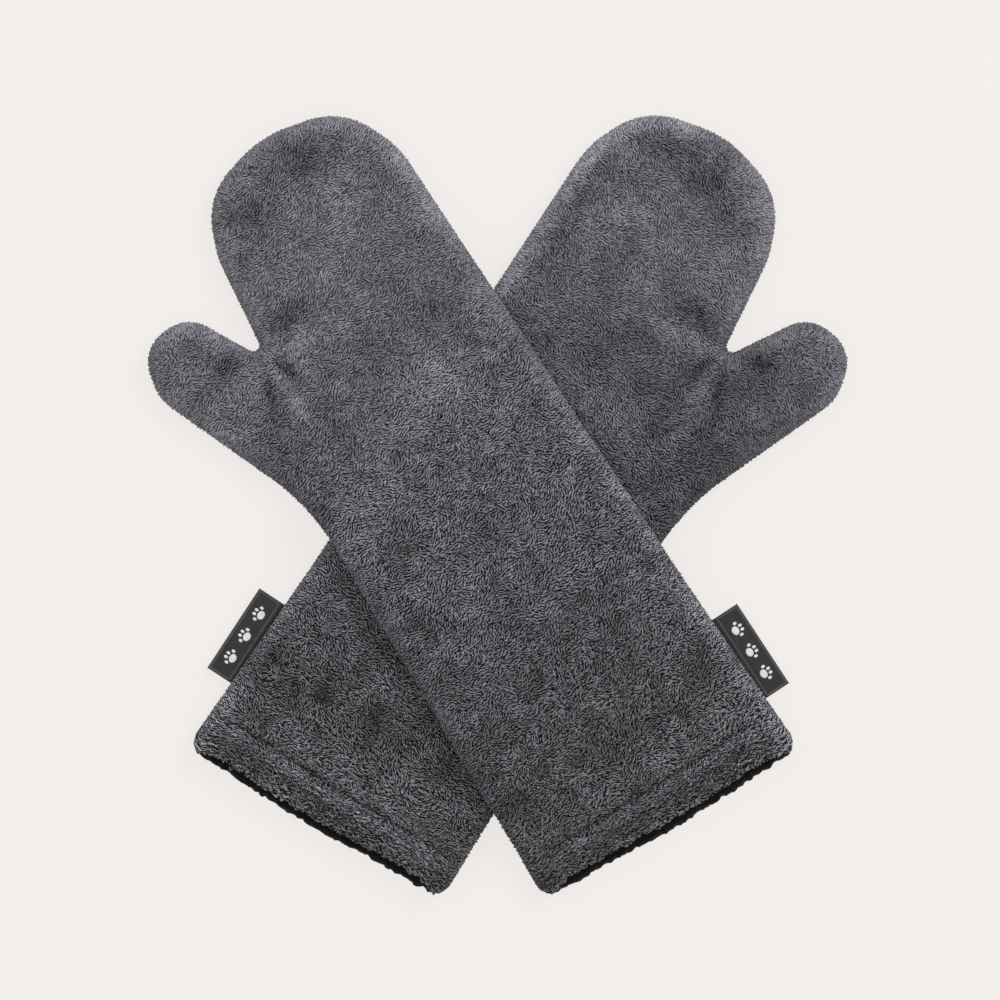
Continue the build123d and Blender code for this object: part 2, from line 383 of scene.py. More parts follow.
def quads_of(kept):
    """The faces of a grid whose four corners are all kept."""
    rows, cols = kept.shape
    ok = kept[:-1, :-1] & kept[1:, :-1] & kept[1:, 1:] & kept[:-1, 1:]
    r, c = np.nonzero(ok)
    i = r * cols + c
    return np.column_stack((i, i + 1, i + 1 + cols, i + cols))


Cut = namedtuple("Cut", "shape flat quads moved depth inward")


def cut_out(mitt, step, first_v, spare, inset=0.0):
    """A flat grid cut to a mitt's outline, or to a line inset from it.

    Its edge points move on to that line. With each point come its depth inside the line and the
    direction inward. The grid has so many spare cells round the outline.
    """
    line = outline(mitt, first_v - OUTLINE_SPARE)
    low_u = line[:, 0].min() - spare * step
    high_u, high_v = line.max(0) + spare * step
    uu, vv = np.meshgrid(np.arange(low_u, high_u + step, step), np.arange(first_v, high_v + step, step))
    flat = np.column_stack((uu.ravel(), vv.ravel()))
    inside_by, near = nearest(line, flat)
    quads = quads_of((inside_by > inset - 0.5 * step).reshape(uu.shape))
    at_edge = np.bincount(quads.ravel(), minlength=len(flat)) < 4
    snap = at_edge & (np.abs(inside_by - inset) < 1.6 * step)
    inward = (flat - near) * np.sign(inside_by)[:, None]
    inward /= np.maximum(np.linalg.norm(inward, axis=1, keepdims=True), 1e-9)
    moved = np.where(snap[:, None], near + inward * inset, flat)
    depth = np.where(snap, 0, np.maximum(inside_by - inset, 0))
    return Cut(uu.shape, flat, quads, moved, depth, inward)


# ---------------------------------------------------------------- pile


def filtered(shape, step, gain, seed):
    """Noise with so much of each wave, a function of its frequencies. Its spread is 1."""
    rng = np.random.default_rng(seed)
    fy = np.fft.fftfreq(shape[0], step)[:, None]
    fx = np.fft.rfftfreq(shape[1], step)[None]
    share = gain(fx, fy)
    share[0, 0] = 0
    noise = np.fft.irfft2(np.fft.rfft2(rng.standard_normal(shape)) * share, s=shape)
    return noise / noise.std()


def waves(shape, step, wave, seed, angle, width=0.3, fan=0.8):
    """Noise of one wavelength, in ridges along an angle."""

    def gain(fx, fy):
        off = (np.arctan2(fy, fx) - angle) % pi - pi / 2
        return np.exp(-(((np.hypot(fx, fy) * wave - 1) / width) ** 2) / 2) * np.exp(-((off / fan) ** 2) / 2)

    return filtered(shape, step, gain, seed)


def blurred(shape, step, wave, seed):
    """Soft noise with nothing finer than a wavelength."""
    return filtered(shape, step, lambda fx, fy: np.exp(-((fx**2 + fy**2) * wave**2)), seed)


def combed(shape, step, wave, lay, seed, bands=8):
    """Short ridges that follow the lay, an angle at each point."""
    total = np.zeros(shape)
    power = np.zeros(shape)
    for k in range(bands):
        angle = pi * k / bands
        weight = np.cos(lay - angle) ** 6
        total += weight * waves(shape, step, wave, seed + k, angle)
        power += weight**2
    return total / np.sqrt(power)


# ---------------------------------------------------------------- meshes


def normals_of(points, quads):
    cross = np.cross(points[quads[:, 2]] - points[quads[:, 0]], points[quads[:, 3]] - points[quads[:, 1]])
    total = np.zeros_like(points)
    for k in range(4):
        for axis in range(3):
            total[:, axis] += np.bincount(quads[:, k], cross[:, axis], len(points))
    return total / np.maximum(np.linalg.norm(total, axis=1, keepdims=True), 1e-12)


def linked(name, mesh, material):
    """An object of a mesh, in the scene."""
    mesh.materials.append(material)
    obj = bpy.data.objects.new(name, mesh)
    bpy.context.scene.collection.objects.link(obj)
    return obj


def mesh_object(name, points, quads, material, normals=None, **values):
    """An object from points in millimetres and faces of four corners, with values on its points."""
    used, index = np.unique(quads, return_inverse=True)
    index = index.reshape(-1).astype(np.int32)
    mesh = bpy.data.meshes.new(name)
    mesh.vertices.add(len(used))
    mesh.vertices.foreach_set("co", (points[used] * MM).astype(np.float32).ravel())
    mesh.loops.add(len(index))
    mesh.loops.foreach_set("vertex_index", index)
    mesh.polygons.add(len(quads))
    mesh.polygons.foreach_set("loop_start", np.arange(0, len(index), 4, dtype=np.int32))
    mesh.update(calc_edges=True)
    mesh.validate()
    mesh.polygons.foreach_set("use_smooth", np.ones(len(mesh.polygons), bool))
    for key, value in values.items():
        kind, field = ("FLOAT", "value") if value.ndim == 1 else ("FLOAT_VECTOR", "vector")
        data = mesh.attributes.new(key, kind, "POINT").data
        data.foreach_set(field, value[used].astype(np.float32).ravel())
    if normals is not None:
        mesh.normals_split_custom_set_from_vertices(normals[used].tolist())
    return linked(name, mesh, material)


def closed_object(name, points, faces, material):
    """An object from a closed surface in millimetres, with its faces turned outward."""
    mesh = bpy.data.meshes.new(name)
    mesh.from_pydata([tuple(p * MM) for p in points], [], [list(f) for f in faces])
    mesh.validate()
    mesh.polygons.foreach_set("use_smooth", np.ones(len(mesh.polygons), bool))
    bm = bmesh.new()
    bm.from_mesh(mesh)
    bmesh.ops.recalc_face_normals(bm, faces=bm.faces)
    bm.to_mesh(mesh)
    bm.free()
    return linked(name, mesh, material)


# ---------------------------------------------------------------- materials


WAVE_RATE = 20  # radians of Blender's wave texture in each unit


class Nodes:
    """Short calls to build a material's nodes."""

    def __init__(self, name):
        self.material = bpy.data.materials.new(name)
        self.material.use_nodes = True
        self.tree = self.material.node_tree
        self.shader = self.tree.nodes["Principled BSDF"]

    def node(self, kind, inputs, **settings):
        """A node with its settings, and its inputs as values or as links from other nodes."""
        made = self.tree.nodes.new(kind)
        for key, value in settings.items():
            setattr(made, key, value)
        for key, value in dict(inputs).items():
            self.put(made.inputs[key], value)
        return made

    def put(self, socket, value):
        if isinstance(value, bpy.types.NodeSocket):
            self.tree.links.new(value, socket)
        else:
            socket.default_value = value

    def math(self, operation, *values):
        return self.node("ShaderNodeMath", enumerate(values), operation=operation).outputs[0]

    def centred(self, value, size):
        """A value from 0 to 1 becomes one of so wide a spread round 0."""
        return self.math("MULTIPLY_ADD", value, size, -size / 2)

    def attribute(self, name):
        """A value that the mesh has at its points."""
        return self.node("ShaderNodeAttribute", {}, attribute_name=name).outputs["Fac"]

    def place(self):
        return self.node("ShaderNodeTexCoord", {}).outputs["Object"]

    def noise(self, scale, detail):
        inputs = {"Vector": self.place(), "Scale": scale, "Detail": detail}
        return self.node("ShaderNodeTexNoise", inputs).outputs["Fac"]

    def gabor(self, place, cell, stripes, anisotropy, turn):
        """Short strokes: so many stripes to a cell, a size in millimetres, turned to an angle."""
        inputs = {
            "Vector": place,
            "Scale": 1 / (cell * MM),
            "Frequency": stripes,
            "Anisotropy": anisotropy,
            "Orientation 2D": turn,
        }
        return self.node("ShaderNodeTexGabor", inputs).outputs["Value"]

    def threads(self, place, pitch, direction):
        """Parallel threads, a pitch in millimetres apart, across a direction."""
        scale = 2 * pi / (WAVE_RATE * pitch * MM)
        inputs = {"Vector": place, "Scale": scale, "Distortion": 0.3, "Detail": 1.0}
        return self.node("ShaderNodeTexWave", inputs, bands_direction=direction).outputs["Fac"]

    def ramp(self, value, stops):
        """A colour for a value, between stops of a position and a colour."""
        made = self.node("ShaderNodeValToRGB", {"Fac": value})
        elements = made.color_ramp.elements
        while len(elements) < len(stops):
            elements.new(0.5)
        for element, (at, colour) in zip(elements, stops):
            element.position = at
            element.color = (*colour, 1)
        return made.outputs["Color"]

    def scaled(self, colour, factor):
        made = self.node("ShaderNodeVectorMath", {0: colour, "Scale": factor}, operation="SCALE")
        return made.outputs[0]

    def mixed(self, factor, a, b):
        made = self.node("ShaderNodeMix", {0: factor, 6: a, 7: b}, data_type="RGBA")
        return made.outputs[2]

    def bump(self, height, distance):
        made = self.node("ShaderNodeBump", {"Height": height, "Distance": distance, "Strength": 1.0})
        self.put(self.shader.inputs["Normal"], made.outputs[0])

    def finish(self, colour, roughness, specular, sheen=0.0):
        self.put(self.shader.inputs["Base Color"], colour)
        self.put(self.shader.inputs["Roughness"], roughness)
        self.put(self.shader.inputs["Specular IOR Level"], specular)
        self.put(self.shader.inputs["Sheen Weight"], sheen)
        self.put(self.shader.inputs["Sheen Roughness"], 0.5)
        return self.material


def plush_material():
    """Dark grey pile: short strokes along the lay, with painted shade between them and painted highlight on
    their tips, and a dark inside at the mouth, partly its own colour and partly painted shade.
    """
    n = Nodes("plush")
    unrolled = n.node("ShaderNodeAttribute", {}, attribute_name="unrolled").outputs["Vector"]
    strokes = n.gabor(unrolled, PILE_CELL, PILE_STRIPES, 0.55, n.attribute("lay"))
    fibres = n.noise(900, 2.0)
    clumps = n.noise(400, 1.0)
    height = n.math("MULTIPLY", n.attribute("pile"), 0.13)
    for layer, spread in ((strokes, 1.5), (fibres, 0.9), (clumps, 0.7)):
        height = n.math("ADD", height, n.centred(layer, spread))
    height = n.math("MULTIPLY_ADD", height, n.attribute("depth"), 0.5)
    colour = n.scaled(n.ramp(height, PILE_COLOURS), n.attribute("tone"))
    # the turned-in cloth goes dark: partly its inner face's own colour, partly painted shade
    colour = n.mixed(n.attribute("inside"), colour, INNER_FACE_AND_SHADE_COLOUR)
    n.bump(height, 0.0006)
    roughness = n.math("MULTIPLY_ADD", fibres, -0.15, 1.0)
    return n.finish(colour, roughness, specular=0.08, sheen=0.10)


def lining_material():
    """Black fleece."""
    n = Nodes("lining")
    fleece = n.noise(700, 4.0)
    colour = n.ramp(fleece, [(0.3, (0.004, 0.004, 0.0045)), (0.75, (0.016, 0.016, 0.018))])
    n.bump(fleece, 0.0006)
    roughness = n.math("MULTIPLY_ADD", fleece, -0.2, 1.0)
    return n.finish(colour, roughness, specular=0.15, sheen=0.1)


def thread_material():
    """Dark sewing thread."""
    n = Nodes("thread")
    twist = n.noise(3000, 2.0)
    colour = n.ramp(twist, [(0.3, (0.022, 0.022, 0.026)), (0.7, (0.07, 0.07, 0.08))])
    n.bump(twist, 0.0002)
    roughness = n.math("MULTIPLY_ADD", twist, -0.2, 0.8)
    return n.finish(colour, roughness, specular=0.3, sheen=0.2)


def woven_material(name, dark, light, pitch, turn, roughness, sheen):
    """Ribbon: crossing threads a pitch apart, turned to follow the ribbon."""
    n = Nodes(name)
    turned = n.node("ShaderNodeMapping", {"Vector": n.place(), "Rotation": (0, 0, turn)}).outputs[0]
    weft = n.threads(turned, pitch, "Y")
    warp = n.threads(turned, pitch / 1.7, "X")
    weave = n.math("ADD", n.math("MULTIPLY", weft, 0.65), n.math("MULTIPLY", warp, 0.35))
    worn = n.math("ADD", weave, n.centred(n.noise(260, 3.0), 0.8))
    colour = n.ramp(worn, [(0.15, dark), (0.85, light)])
    n.bump(weave, 0.00012)
    roughness = n.math("MULTIPLY_ADD", weave, -0.15, roughness)
    return n.finish(colour, roughness, specular=0.35, sheen=sheen)


PLUSH = plush_material()
LINING = lining_material()
THREAD = thread_material()


# ---------------------------------------------------------------- plush shells


def rolled_side(inside_by, start):
    """A distance inside the outline becomes a place on the rolled side, where the roll starts at an angle.

    It is given as an inset, a height from -1 to 1, and how far inside it would be with the roll laid flat.
    """
    arc = RIM * (pi / 2 - start)
    stretch = 2 * (arc - RIM) / RIM_REACH + 1
    d = np.clip(inside_by, 0, RIM_REACH)
    along = stretch * d + (1 - stretch) / (2 * RIM_REACH) * d * d + np.maximum(inside_by - RIM_REACH, 0)
    turn = np.minimum(start + along / RIM, pi / 2)
    inset = np.where(along < arc, RIM * (1 - np.cos(turn)), RIM + along - arc)
    return inset, np.sin(turn), along - (arc - RIM)


def creases(u, v):
    """Dents and folds, most of them round the root of the thumb, with painted shade in each dent and painted
    highlight on each ridge.
    """
    marks = [
        # spot, size, turn, height, tone (painted shade where negative, painted highlight where positive)
        ((-44, 168), (19, 8), 0, -2.0, -0.60),
        ((-41, 150), (22, 5.5), -10, 1.6, 0.38),
        ((-64, 144), (12, 4), -73, -2.1, -0.62),
        ((-70, 128), (20, 5), -93, 1.6, 0.34),
        ((-81, 134), (20, 4), 67, -1.5, -0.48),
        ((-59, 100), (24, 6), 85, -1.0, -0.26),
        ((-91, 165), (11, 7), -20, -1.8, -0.55),
        ((-106, 185), (13, 8), -30, -0.4, -0.20),
        ((-90, 88), (20, 52), 0, -0.2, -0.20),
        ((28, 245), (22, 9), -5, -0.8, -0.26),
        ((-14, 237), (20, 10), 20, -0.8, -0.26),
        ((54, 205), (8, 34), 0, -0.3, -0.12),
        ((8, 162), (14, 10), 0, 0.4, 0.16),
        ((-6, 131), (24, 12), 0, -0.4, -0.22),
        ((12, 85), (26, 14), 0, 0.4, 0.26),
        ((-43, 67), (15, 20), 0, 0.3, 0.24),
        ((-8, 44), (18, 18), 0, -0.3, -0.22),
        ((-4, -28), (18, 22), 0, 0.3, 0.18),
        ((14, -98), (18, 16), 0, 0.3, 0.26),
        ((48, -158), (14, 18), 0, -0.3, -0.16),
        ((-52, -156), (26, 16), 0, -0.3, -0.14),
        ((0, 195), (30, 16), 0, 0.3, 0.06),
    ]
    height = np.zeros_like(u)
    tone = np.zeros_like(u)
    for centre, size, turn, up, light in marks:
        patch = bell(u, v, centre, size, turn)
        height += up * patch
        tone += light * patch
    return height, tone


class Shell:
    """One face of a mitt, from its turned hem to the fingertips. Each step adds values at its points."""

    def __init__(self, mitt, front):
        self.mitt = mitt
        self.front = front
        self.sign = 1 if front else -1
        self.step = FRONT_STEP if front else BACK_STEP
        self.seed = mitt.seed * 100 + (0 if front else 50)
        self.cut = cut_out(mitt, self.step, MOUTH_V - pi * LIP - RETURN, 2)
        self.roll_sides()
        self.comb_pile()
        self.raise_surface()
        self.turn_mouth()
        self.set_tone()
        self.place_points()

    def noise(self, wave, number):
        return blurred(self.cut.shape, self.step, wave, self.seed + number).ravel()

    def roll_sides(self):
        """The sides roll under, and so do the cells of the grid."""
        cut = self.cut
        self.inset, self.rise, laid_out = rolled_side(cut.depth, FRONT_START if self.front else 0.0)
        unrolled = cut.moved + cut.inward * (laid_out - cut.depth)[:, None]
        self.unrolled = placed(self.mitt, *unrolled.T, np.zeros(len(unrolled))) * MM
        if not self.front:
            self.inset = self.inset + BACK_INSET * (1 - smooth(cut.depth, 0, 6))
        rolled = cut.moved + cut.inward * (self.inset - cut.depth)[:, None]
        self.u, self.v = rolled.T
        self.flatness = smooth(self.inset, 2, 16)

    def comb_pile(self):
        """Ridges of pile, combed outward over the rolled sides and along the mouth at the hem."""
        shape, v = self.cut.shape, self.v
        lay = LAY_SWAY * self.noise(LAY_WAVE, 1) + LAY_LEAN
        lay = lay * smooth(v, *LAY_FADE)
        outward = np.arctan2(self.cut.inward[:, 1], self.cut.inward[:, 0])
        side_on = 1 - smooth(self.cut.depth, *SIDE_LAY)
        off = (outward - lay + pi / 2) % pi - pi / 2
        self.lay = lay + off * side_on * smooth(v, *SIDE_LAY_FADE)
        fine_wave, coarse_wave = FRONT_WAVES if self.front else BACK_WAVES
        fine = combed(shape, self.step, fine_wave, self.lay.reshape(shape), self.seed + 2).ravel()
        coarse = combed(shape, self.step, coarse_wave, self.lay.reshape(shape), self.seed + 12).ravel()
        self.hem = 1 - smooth(v, *HEM_FADE)
        self.sleeve = 1 - smooth(v, *SLEEVE_FADE)
        self.soft = self.noise(SWELL_WAVE, 23)
        self.mottle = self.noise(MOTTLE_WAVE, 24)
        patchy = np.clip(COARSE_AT_HEM * self.hem + COARSE_PATCHES * self.mottle, 0, 1)
        self.pile = (1 - patchy) * fine + patchy * coarse

    def raise_surface(self):
        """Heights from the side seams: the crown, dents and folds, and the hem's grooves and rows."""
        v = self.v
        share = 1 if self.front else BACK_SHARE
        # each dent comes with its painted shade and each ridge with its painted highlight
        dent, shade = creases(self.u, v)
        dent, self.shade = share * dent, share * shade
        z = HALF * self.rise + CROWN * smooth(self.inset, *CROWN_REACH)
        z = z + (dent + SWELL * self.soft) * self.flatness * (1 if self.front else BACK_DENTS)
        crease = HEM_CREASE_SHARE * ridge(v, HEM_CREASE_V, HEM_CREASE_WIDTH)
        self.groove = ridge(v, STITCH_V, HEM_GROOVE_WIDTH) + crease
        padded = 1 - smooth(v, *HEM_PAD_END)
        z = z - (HEM_GROOVE * self.groove - HEM_PAD * padded) * self.flatness * share
        waved = np.cos(2 * pi * (v - MOUTH_V) / ROW_PITCH + ROW_SWAY * self.mottle)
        self.rows = waved * (1 - smooth(v, *ROW_FADE))
        self.z = z + ROW_HEIGHT * self.rows * self.flatness * share

    def turn_mouth(self):
        """The cloth turns in at the mouth, a little deeper away from the thumb, and worn ragged."""
        inset = self.inset
        row = self.cut.flat[:, 1] - MOUTH_V
        near_side = np.minimum(inset, MOUTH_CORNER)
        corner = MOUTH_CORNER - np.sqrt(MOUTH_CORNER**2 - (MOUTH_CORNER - near_side) ** 2)
        slant = MOUTH_SLANT * smooth(-self.u, -10, 110) - MOUTH_DEEPER
        rows, cols = self.cut.shape
        ragged = np.tile(blurred((8, cols), self.step, RAGGED_WAVE, self.seed + 30)[0], rows)
        setback = SETBACK * smooth(inset, 0, 22) if self.front else 0
        edge = corner + slant + setback + MOUTH_RAGGED * ragged * smooth(inset, 2, 8)
        self.fade = 1 - smooth(row, 0, MOUTH_REACH)
        self.turn = np.clip(-row / LIP, 0, pi)
        turned_v = MOUTH_V + edge + LIP * (1 - np.sin(self.turn)) + np.maximum(-row - pi * LIP, 0)
        self.v = np.where(row >= 0, self.v + (LIP + edge) * self.fade, turned_v)
        roll = LIP * smooth(inset, 0, 9)
        self.z = self.z - roll * (1 - np.cos(self.turn))
        self.u = self.u + self.cut.inward[:, 0] * (LIP - roll) * (1 - np.cos(self.turn))

    def set_tone(self):
        """How light the pile is, with painted shade and highlight on the dents, folds and groove, painted
        shadow on the lower mitt's palm and painted sheen along the rims; how deep the dark between its
        strokes; and where the dark inside begins, partly the inner face's own colour and partly painted
        shade.
        """
        u, v, inset = self.u, self.v, self.inset
        shades = self.mitt.shades
        self.inside = smooth(self.turn, *(FRONT_INSIDE if self.front else BACK_INSIDE))

        light = shades.hand + (shades.sleeve - shades.hand) * (1 - smooth(v, *HAND_SPAN))
        # painted shadow of the upper mitt on the lower one's palm
        light = light - (shades.hand - shades.palm) * bell(u, v, *PALM_SHADOW_PATCH)
        light = light - (shades.hand - shades.thumb) * bell(u, v, *THUMB_PATCH)
        light = light * (MOUTH_LIGHT + FINGERS_LIGHT * smooth(v, *LIGHT_SPAN))
        light = light * (1 + HEM_PATCH_LIGHT * bell(u, v, *HEM_PATCH))

        # painted sheen along the rolled rims and outer sides, a little painted shade at the other rims
        side_light = SLEEVE_SIDE_SHEEN + (shades.side - SLEEVE_SIDE_SHEEN) * smooth(v, *OUTER_SIDE_SPAN)
        rim_light = FINGER_RIM_LIGHT * smooth(v, *FINGER_RIM_SPAN) - RIM_DARK
        rim_light = rim_light + side_light * smooth(u, *OUTER_SIDE)
        rim_light = rim_light * (1 - smooth(inset, *RIM_LIGHT_REACH))
        # self.shade is the painted shade and highlight of the dents and folds
        tone = light * (1 + rim_light) * (1 + self.shade)
        mottling = (MOTTLE_TONE + SLEEVE_MOTTLE * self.sleeve) * self.mottle
        tone = tone * (1 + SWELL_TONE * self.soft + mottling)

        puff = ridge(v, PUFF_V, PUFF_WIDTH) * self.flatness
        # painted shade in the groove along the stitches and in the hem's crease
        tone = tone * (1 - GROOVE_SHADE * self.groove * self.flatness)
        tone = tone * (1 + LIP_TONE * (1 - smooth(v, *LIP_TONE_FADE)))
        tone = tone * (1 + ROW_TONE * self.rows) * (1 + PUFF_TONE * puff)
        self.tone = np.clip(tone, *TONE_LIMITS)

        depth = 1 - HAND_SHALLOW * smooth(v, *HAND_SHALLOW_SPAN)
        depth = depth * (1 - RIM_SHALLOW * (1 - smooth(inset, *RIM_SHALLOW_REACH)))
        depth = depth * (1 + SLEEVE_DEEP * self.sleeve + HEM_DEEP * self.hem)
        self.depth = depth * (1 - CREASE_DEEP * self.shade) * (1 - PUFF_SHALLOW * puff)

    def place_points(self):
        """The points and faces in the row frame, with the pile's ridges raised from the cloth."""
        mitt, u, v = self.mitt, self.u, self.v
        points = placed(mitt, u, v, MID + FLOOR_GAP / 2 + self.sign * self.z)
        lift = RIDGE * (1 + HEM_RIDGE * self.hem) + LIP_RIDGE * (1 - smooth(v, *LIP_RIDGE_FADE))
        if not self.front:
            lift = np.minimum(lift, BACK_RIDGE)
        at_label = bell(u, v, (LABEL_ROOT, mitt.label_v), LABEL_PATCH_SIZE)
        lift = lift * (1 - PRESSED_BY_LABEL * at_label)
        lift = lift * (1 - PRESSED_INSIDE * smooth(self.turn, 2.2, 3.0))
        lift = lift * (1 - PRESSED_AT_CORNERS * self.fade * (1 - smooth(self.inset, 0, 6)))
        self.quads = facing(mitt, self.sign, self.cut.quads)
        raised = lift * np.clip(self.pile, -RIDGE_LIMIT, RIDGE_LIMIT)
        self.points = points + normals_of(points, self.quads) * raised[:, None]

    def values(self):
        """What the plush's material reads at each point."""
        return {
            "pile": self.pile * (0.7 + 0.4 * self.sleeve),
            "tone": self.tone,
            "inside": self.inside,
            "depth": self.depth,
            "lay": turned_lay(self.mitt, self.lay),
            "unrolled": self.unrolled,
        }


def facing(mitt, sign, quads):
    """Faces turned so that they face up where sign is 1 and down where it is -1."""
    return quads[:, ::-1] if mitt.side * sign < 0 else quads


def turned_lay(mitt, lay):
    """The direction across the lay, as an angle in the row frame."""
    _, across, along = axes(mitt)
    beside = np.outer(-mitt.side * np.sin(lay), across) + np.outer(np.cos(lay), along)
    return np.arctan2(beside[:, 1], beside[:, 0])


def regions(middle):
    """Which faces belong to the sleeve, which to the fingers and which to the thumb."""
    along = THUMB_FOLD_TOP - THUMB_FOLD_LOW
    along = along / np.linalg.norm(along)
    beyond = (middle - THUMB_FOLD_LOW) @ np.array((-along[1], along[0]))
    fingers = (middle[:, 1] > FINGERS_V) & (middle[:, 0] > FINGERS_U)
    thumb = (beyond > -1.0) & ~fingers
    return {"sleeve": ~fingers & ~thumb, "fingers": fingers, "thumb": thumb}


def attach(mitt, obj, part):
    """A sleeve's piece rides it. For one of the fingers or the thumb, the span where the cloth bends from
    the sleeve is worked out but not used, and the piece is only baked in place.
    """
    sleeve = f"{mitt.name}_sleeve"
    if part == "sleeve":
        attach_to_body(obj, sleeve)
        return
    if part == "fingers":
        start, end = (spot(mitt, 0, KNUCKLE_V + reach) for reach in KNUCKLE_BEND)
        end[2] = start[2]
    else:
        along = THUMB_FOLD_TOP - THUMB_FOLD_LOW
        across = np.array((-along[1], along[0])) / np.linalg.norm(along)
        middle = (THUMB_FOLD_TOP + THUMB_FOLD_LOW) / 2
        start, end = (spot(mitt, *(middle + reach * across)) for reach in THUMB_BEND)
        start[2] = end[2] = 0
    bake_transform(obj)


def make_shells(mitt):
    for front in (True, False):
        face, panel = ("front", "top_panel") if front else ("back", "bottom_panel")
        shell = Shell(mitt, front)
        normals = normals_of(shell.points, shell.quads)
        values = shell.values()
        for part, chosen in regions(shell.cut.flat[shell.quads].mean(1)).items():
            name = f"{mitt.name}_{part}_{face}"
            obj = mesh_object(name, shell.points, shell.quads[chosen], PLUSH, normals, **values)
            stands_for = [f"{PARTS[part]}_{panel}"]
            if front and part == "sleeve":
                stands_for += ["outer_side_seam", "thumb_side_seam", "crotch_seam"]
            elif front:
                stands_for.append(f"{PARTS[part]}_seam")
            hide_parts(*(f"{mitt.name}_{node}" for node in stands_for))
            attach(mitt, obj, part)


# ---------------------------------------------------------------- linings


def make_lining(mitt, front):
    cut = cut_out(mitt, LINING_STEP, MOUTH_V + LINING_DEPTH, 1, LINING_INSET)
    ripple = 0.15 * blurred(cut.shape, LINING_STEP, 9, mitt.seed + 7).ravel()
    roll = np.sin(np.clip(cut.depth / LINING_ROLL, 0, 1) * pi / 2)
    z = LINING_GAP + LINING_HALF * roll + ripple * smooth(cut.depth, 0, LINING_ROLL)
    sign = 1 if front else -1
    points = placed(mitt, *cut.moved.T, MID + sign * z)
    quads = facing(mitt, sign, cut.quads)
    face, layer = ("front", "top") if front else ("back", "bottom")
    for part, chosen in regions(cut.flat[quads].mean(1)).items():
        name = f"{mitt.name}_{part}_lining_{face}"
        obj = mesh_object(name, points, quads[chosen], LINING)
        stands_for = [f"{mitt.name}_{PARTS[part]}_{layer}_lining"]
        if part == "sleeve":
            stands_for.append(f"{mitt.name}_hem_{layer}")
        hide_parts(*stands_for)
        attach(mitt, obj, part)


# ---------------------------------------------------------------- hem stitches


def tube(centre, radii, sides=8):
    """Points and faces of a tube along a line of points with a radius at each."""
    ahead = np.gradient(centre, axis=0)
    ahead /= np.linalg.norm(ahead, axis=1, keepdims=True)
    side = np.cross(ahead, (0.0, 0.0, 1.0))
    side /= np.maximum(np.linalg.norm(side, axis=1, keepdims=True), 1e-9)
    over = np.cross(side, ahead)
    t = np.arange(sides) / sides * 2 * pi
    ring = np.cos(t)[None, :, None] * side[:, None] + np.sin(t)[None, :, None] * over[:, None]
    points = (centre[:, None] + ring * radii[:, None, None]).reshape(-1, 3)
    quads = []
    for i in range(len(centre) - 1):
        for k in range(sides):
            a, b = i * sides + k, i * sides + (k + 1) % sides
            quads.append((a, b, b + sides, a + sides))
    return points, np.array(quads)


def make_stitches(mitt):
    """A row of short stitches in the hem's groove."""
    middle = (CORNERS[0][0][0] + CORNERS[-1][0][0]) / 2
    groove = MID + FLOOR_GAP / 2 + HALF + CROWN - HEM_GROOVE
    t = np.linspace(-1, 1, 9)
    radii = STITCH_RADIUS * np.sqrt(np.clip(1 - (0.97 * t) ** 8, 0.02, 1))
    z = groove + 0.35 * (1 - t**2) - 0.15
    points, quads = [], []
    for i in range(STITCH_ROW):
        u = middle + (i - (STITCH_ROW - 1) / 2) * STITCH_PITCH
        line = placed(mitt, u + STITCH_REACH * t, np.full(len(t), STITCH_V), z)
        ring_points, ring_quads = tube(line, radii)
        points.append(ring_points)
        quads.append(ring_quads + i * len(ring_points))
    obj = mesh_object(f"{mitt.name}_hem_stitches", np.vstack(points), np.vstack(quads), THREAD)
    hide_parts(f"{mitt.name}_hem_stitch")
    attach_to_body(obj, f"{mitt.name}_sleeve")


# ---------------------------------------------------------------- labels


def on_label(mitt, u, v, z):
    """Points of a label, which has a small wave that grows towards its fold."""
    wave = 0.12 * np.sin(v * 0.11) + 0.08 * np.sin(v * 0.31 + 1)
    return undraped(mitt, u, v, z + wave * (u - LABEL_ROOT) / LABEL_WIDTH)


def loop_section(radius, arc_points):
    """From the seam along the lower side of a folded ribbon, round its fold and back."""
    fold, middle = LABEL_TIP - LABEL_THICK / 2, LABEL_Z + LABEL_THICK / 2
    root = LABEL_ROOT - RIBBON_IN_SEAM
    sides = np.linspace(root + 2, fold, 8)
    low = [(root, middle - radius)] + [(u, middle - radius) for u in sides]
    angles = np.linspace(0.3, pi - 0.3, arc_points)
    arc = [(fold + radius * sin(a), middle - radius * cos(a)) for a in angles]
    return low + arc + [(u, middle + radius) for u in sides[::-1]] + [(root, middle + radius)]


def make_ribbon(mitt, material):
    outer = loop_section(LABEL_THICK / 2, 7)
    inner = loop_section(LABEL_THICK / 2 - RIBBON_PLY, 5)[::-1]
    u, z = np.array(outer + inner).T
    n, m = len(u), len(outer)
    v_low, v_high = mitt.label_v - LABEL_LENGTH / 2, mitt.label_v + LABEL_LENGTH / 2
    cuts = np.linspace(v_low, v_high, RIBBON_CUTS)
    points = np.vstack([on_label(mitt, u, np.full(n, v), z) for v in cuts])
    faces = []
    for i in range(RIBBON_CUTS - 1):
        for k in range(n):
            a, b = i * n + k, i * n + (k + 1) % n
            faces.append((a, a + n, b + n, b))
    pairs = [(k, n - 1 - round(k * (n - m - 1) / (m - 1))) for k in range(m)]
    for base in (0, (RIBBON_CUTS - 1) * n):
        for (a, b), (c, d) in zip(pairs, pairs[1:]):
            corners = (a, c, d, b) if b != d else (a, c, b)
            faces.append([base + corner for corner in corners])
    ribbon = closed_object(f"{mitt.name}_label_ribbon", points, faces, material)
    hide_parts(f"{mitt.name}_label")
    return ribbon


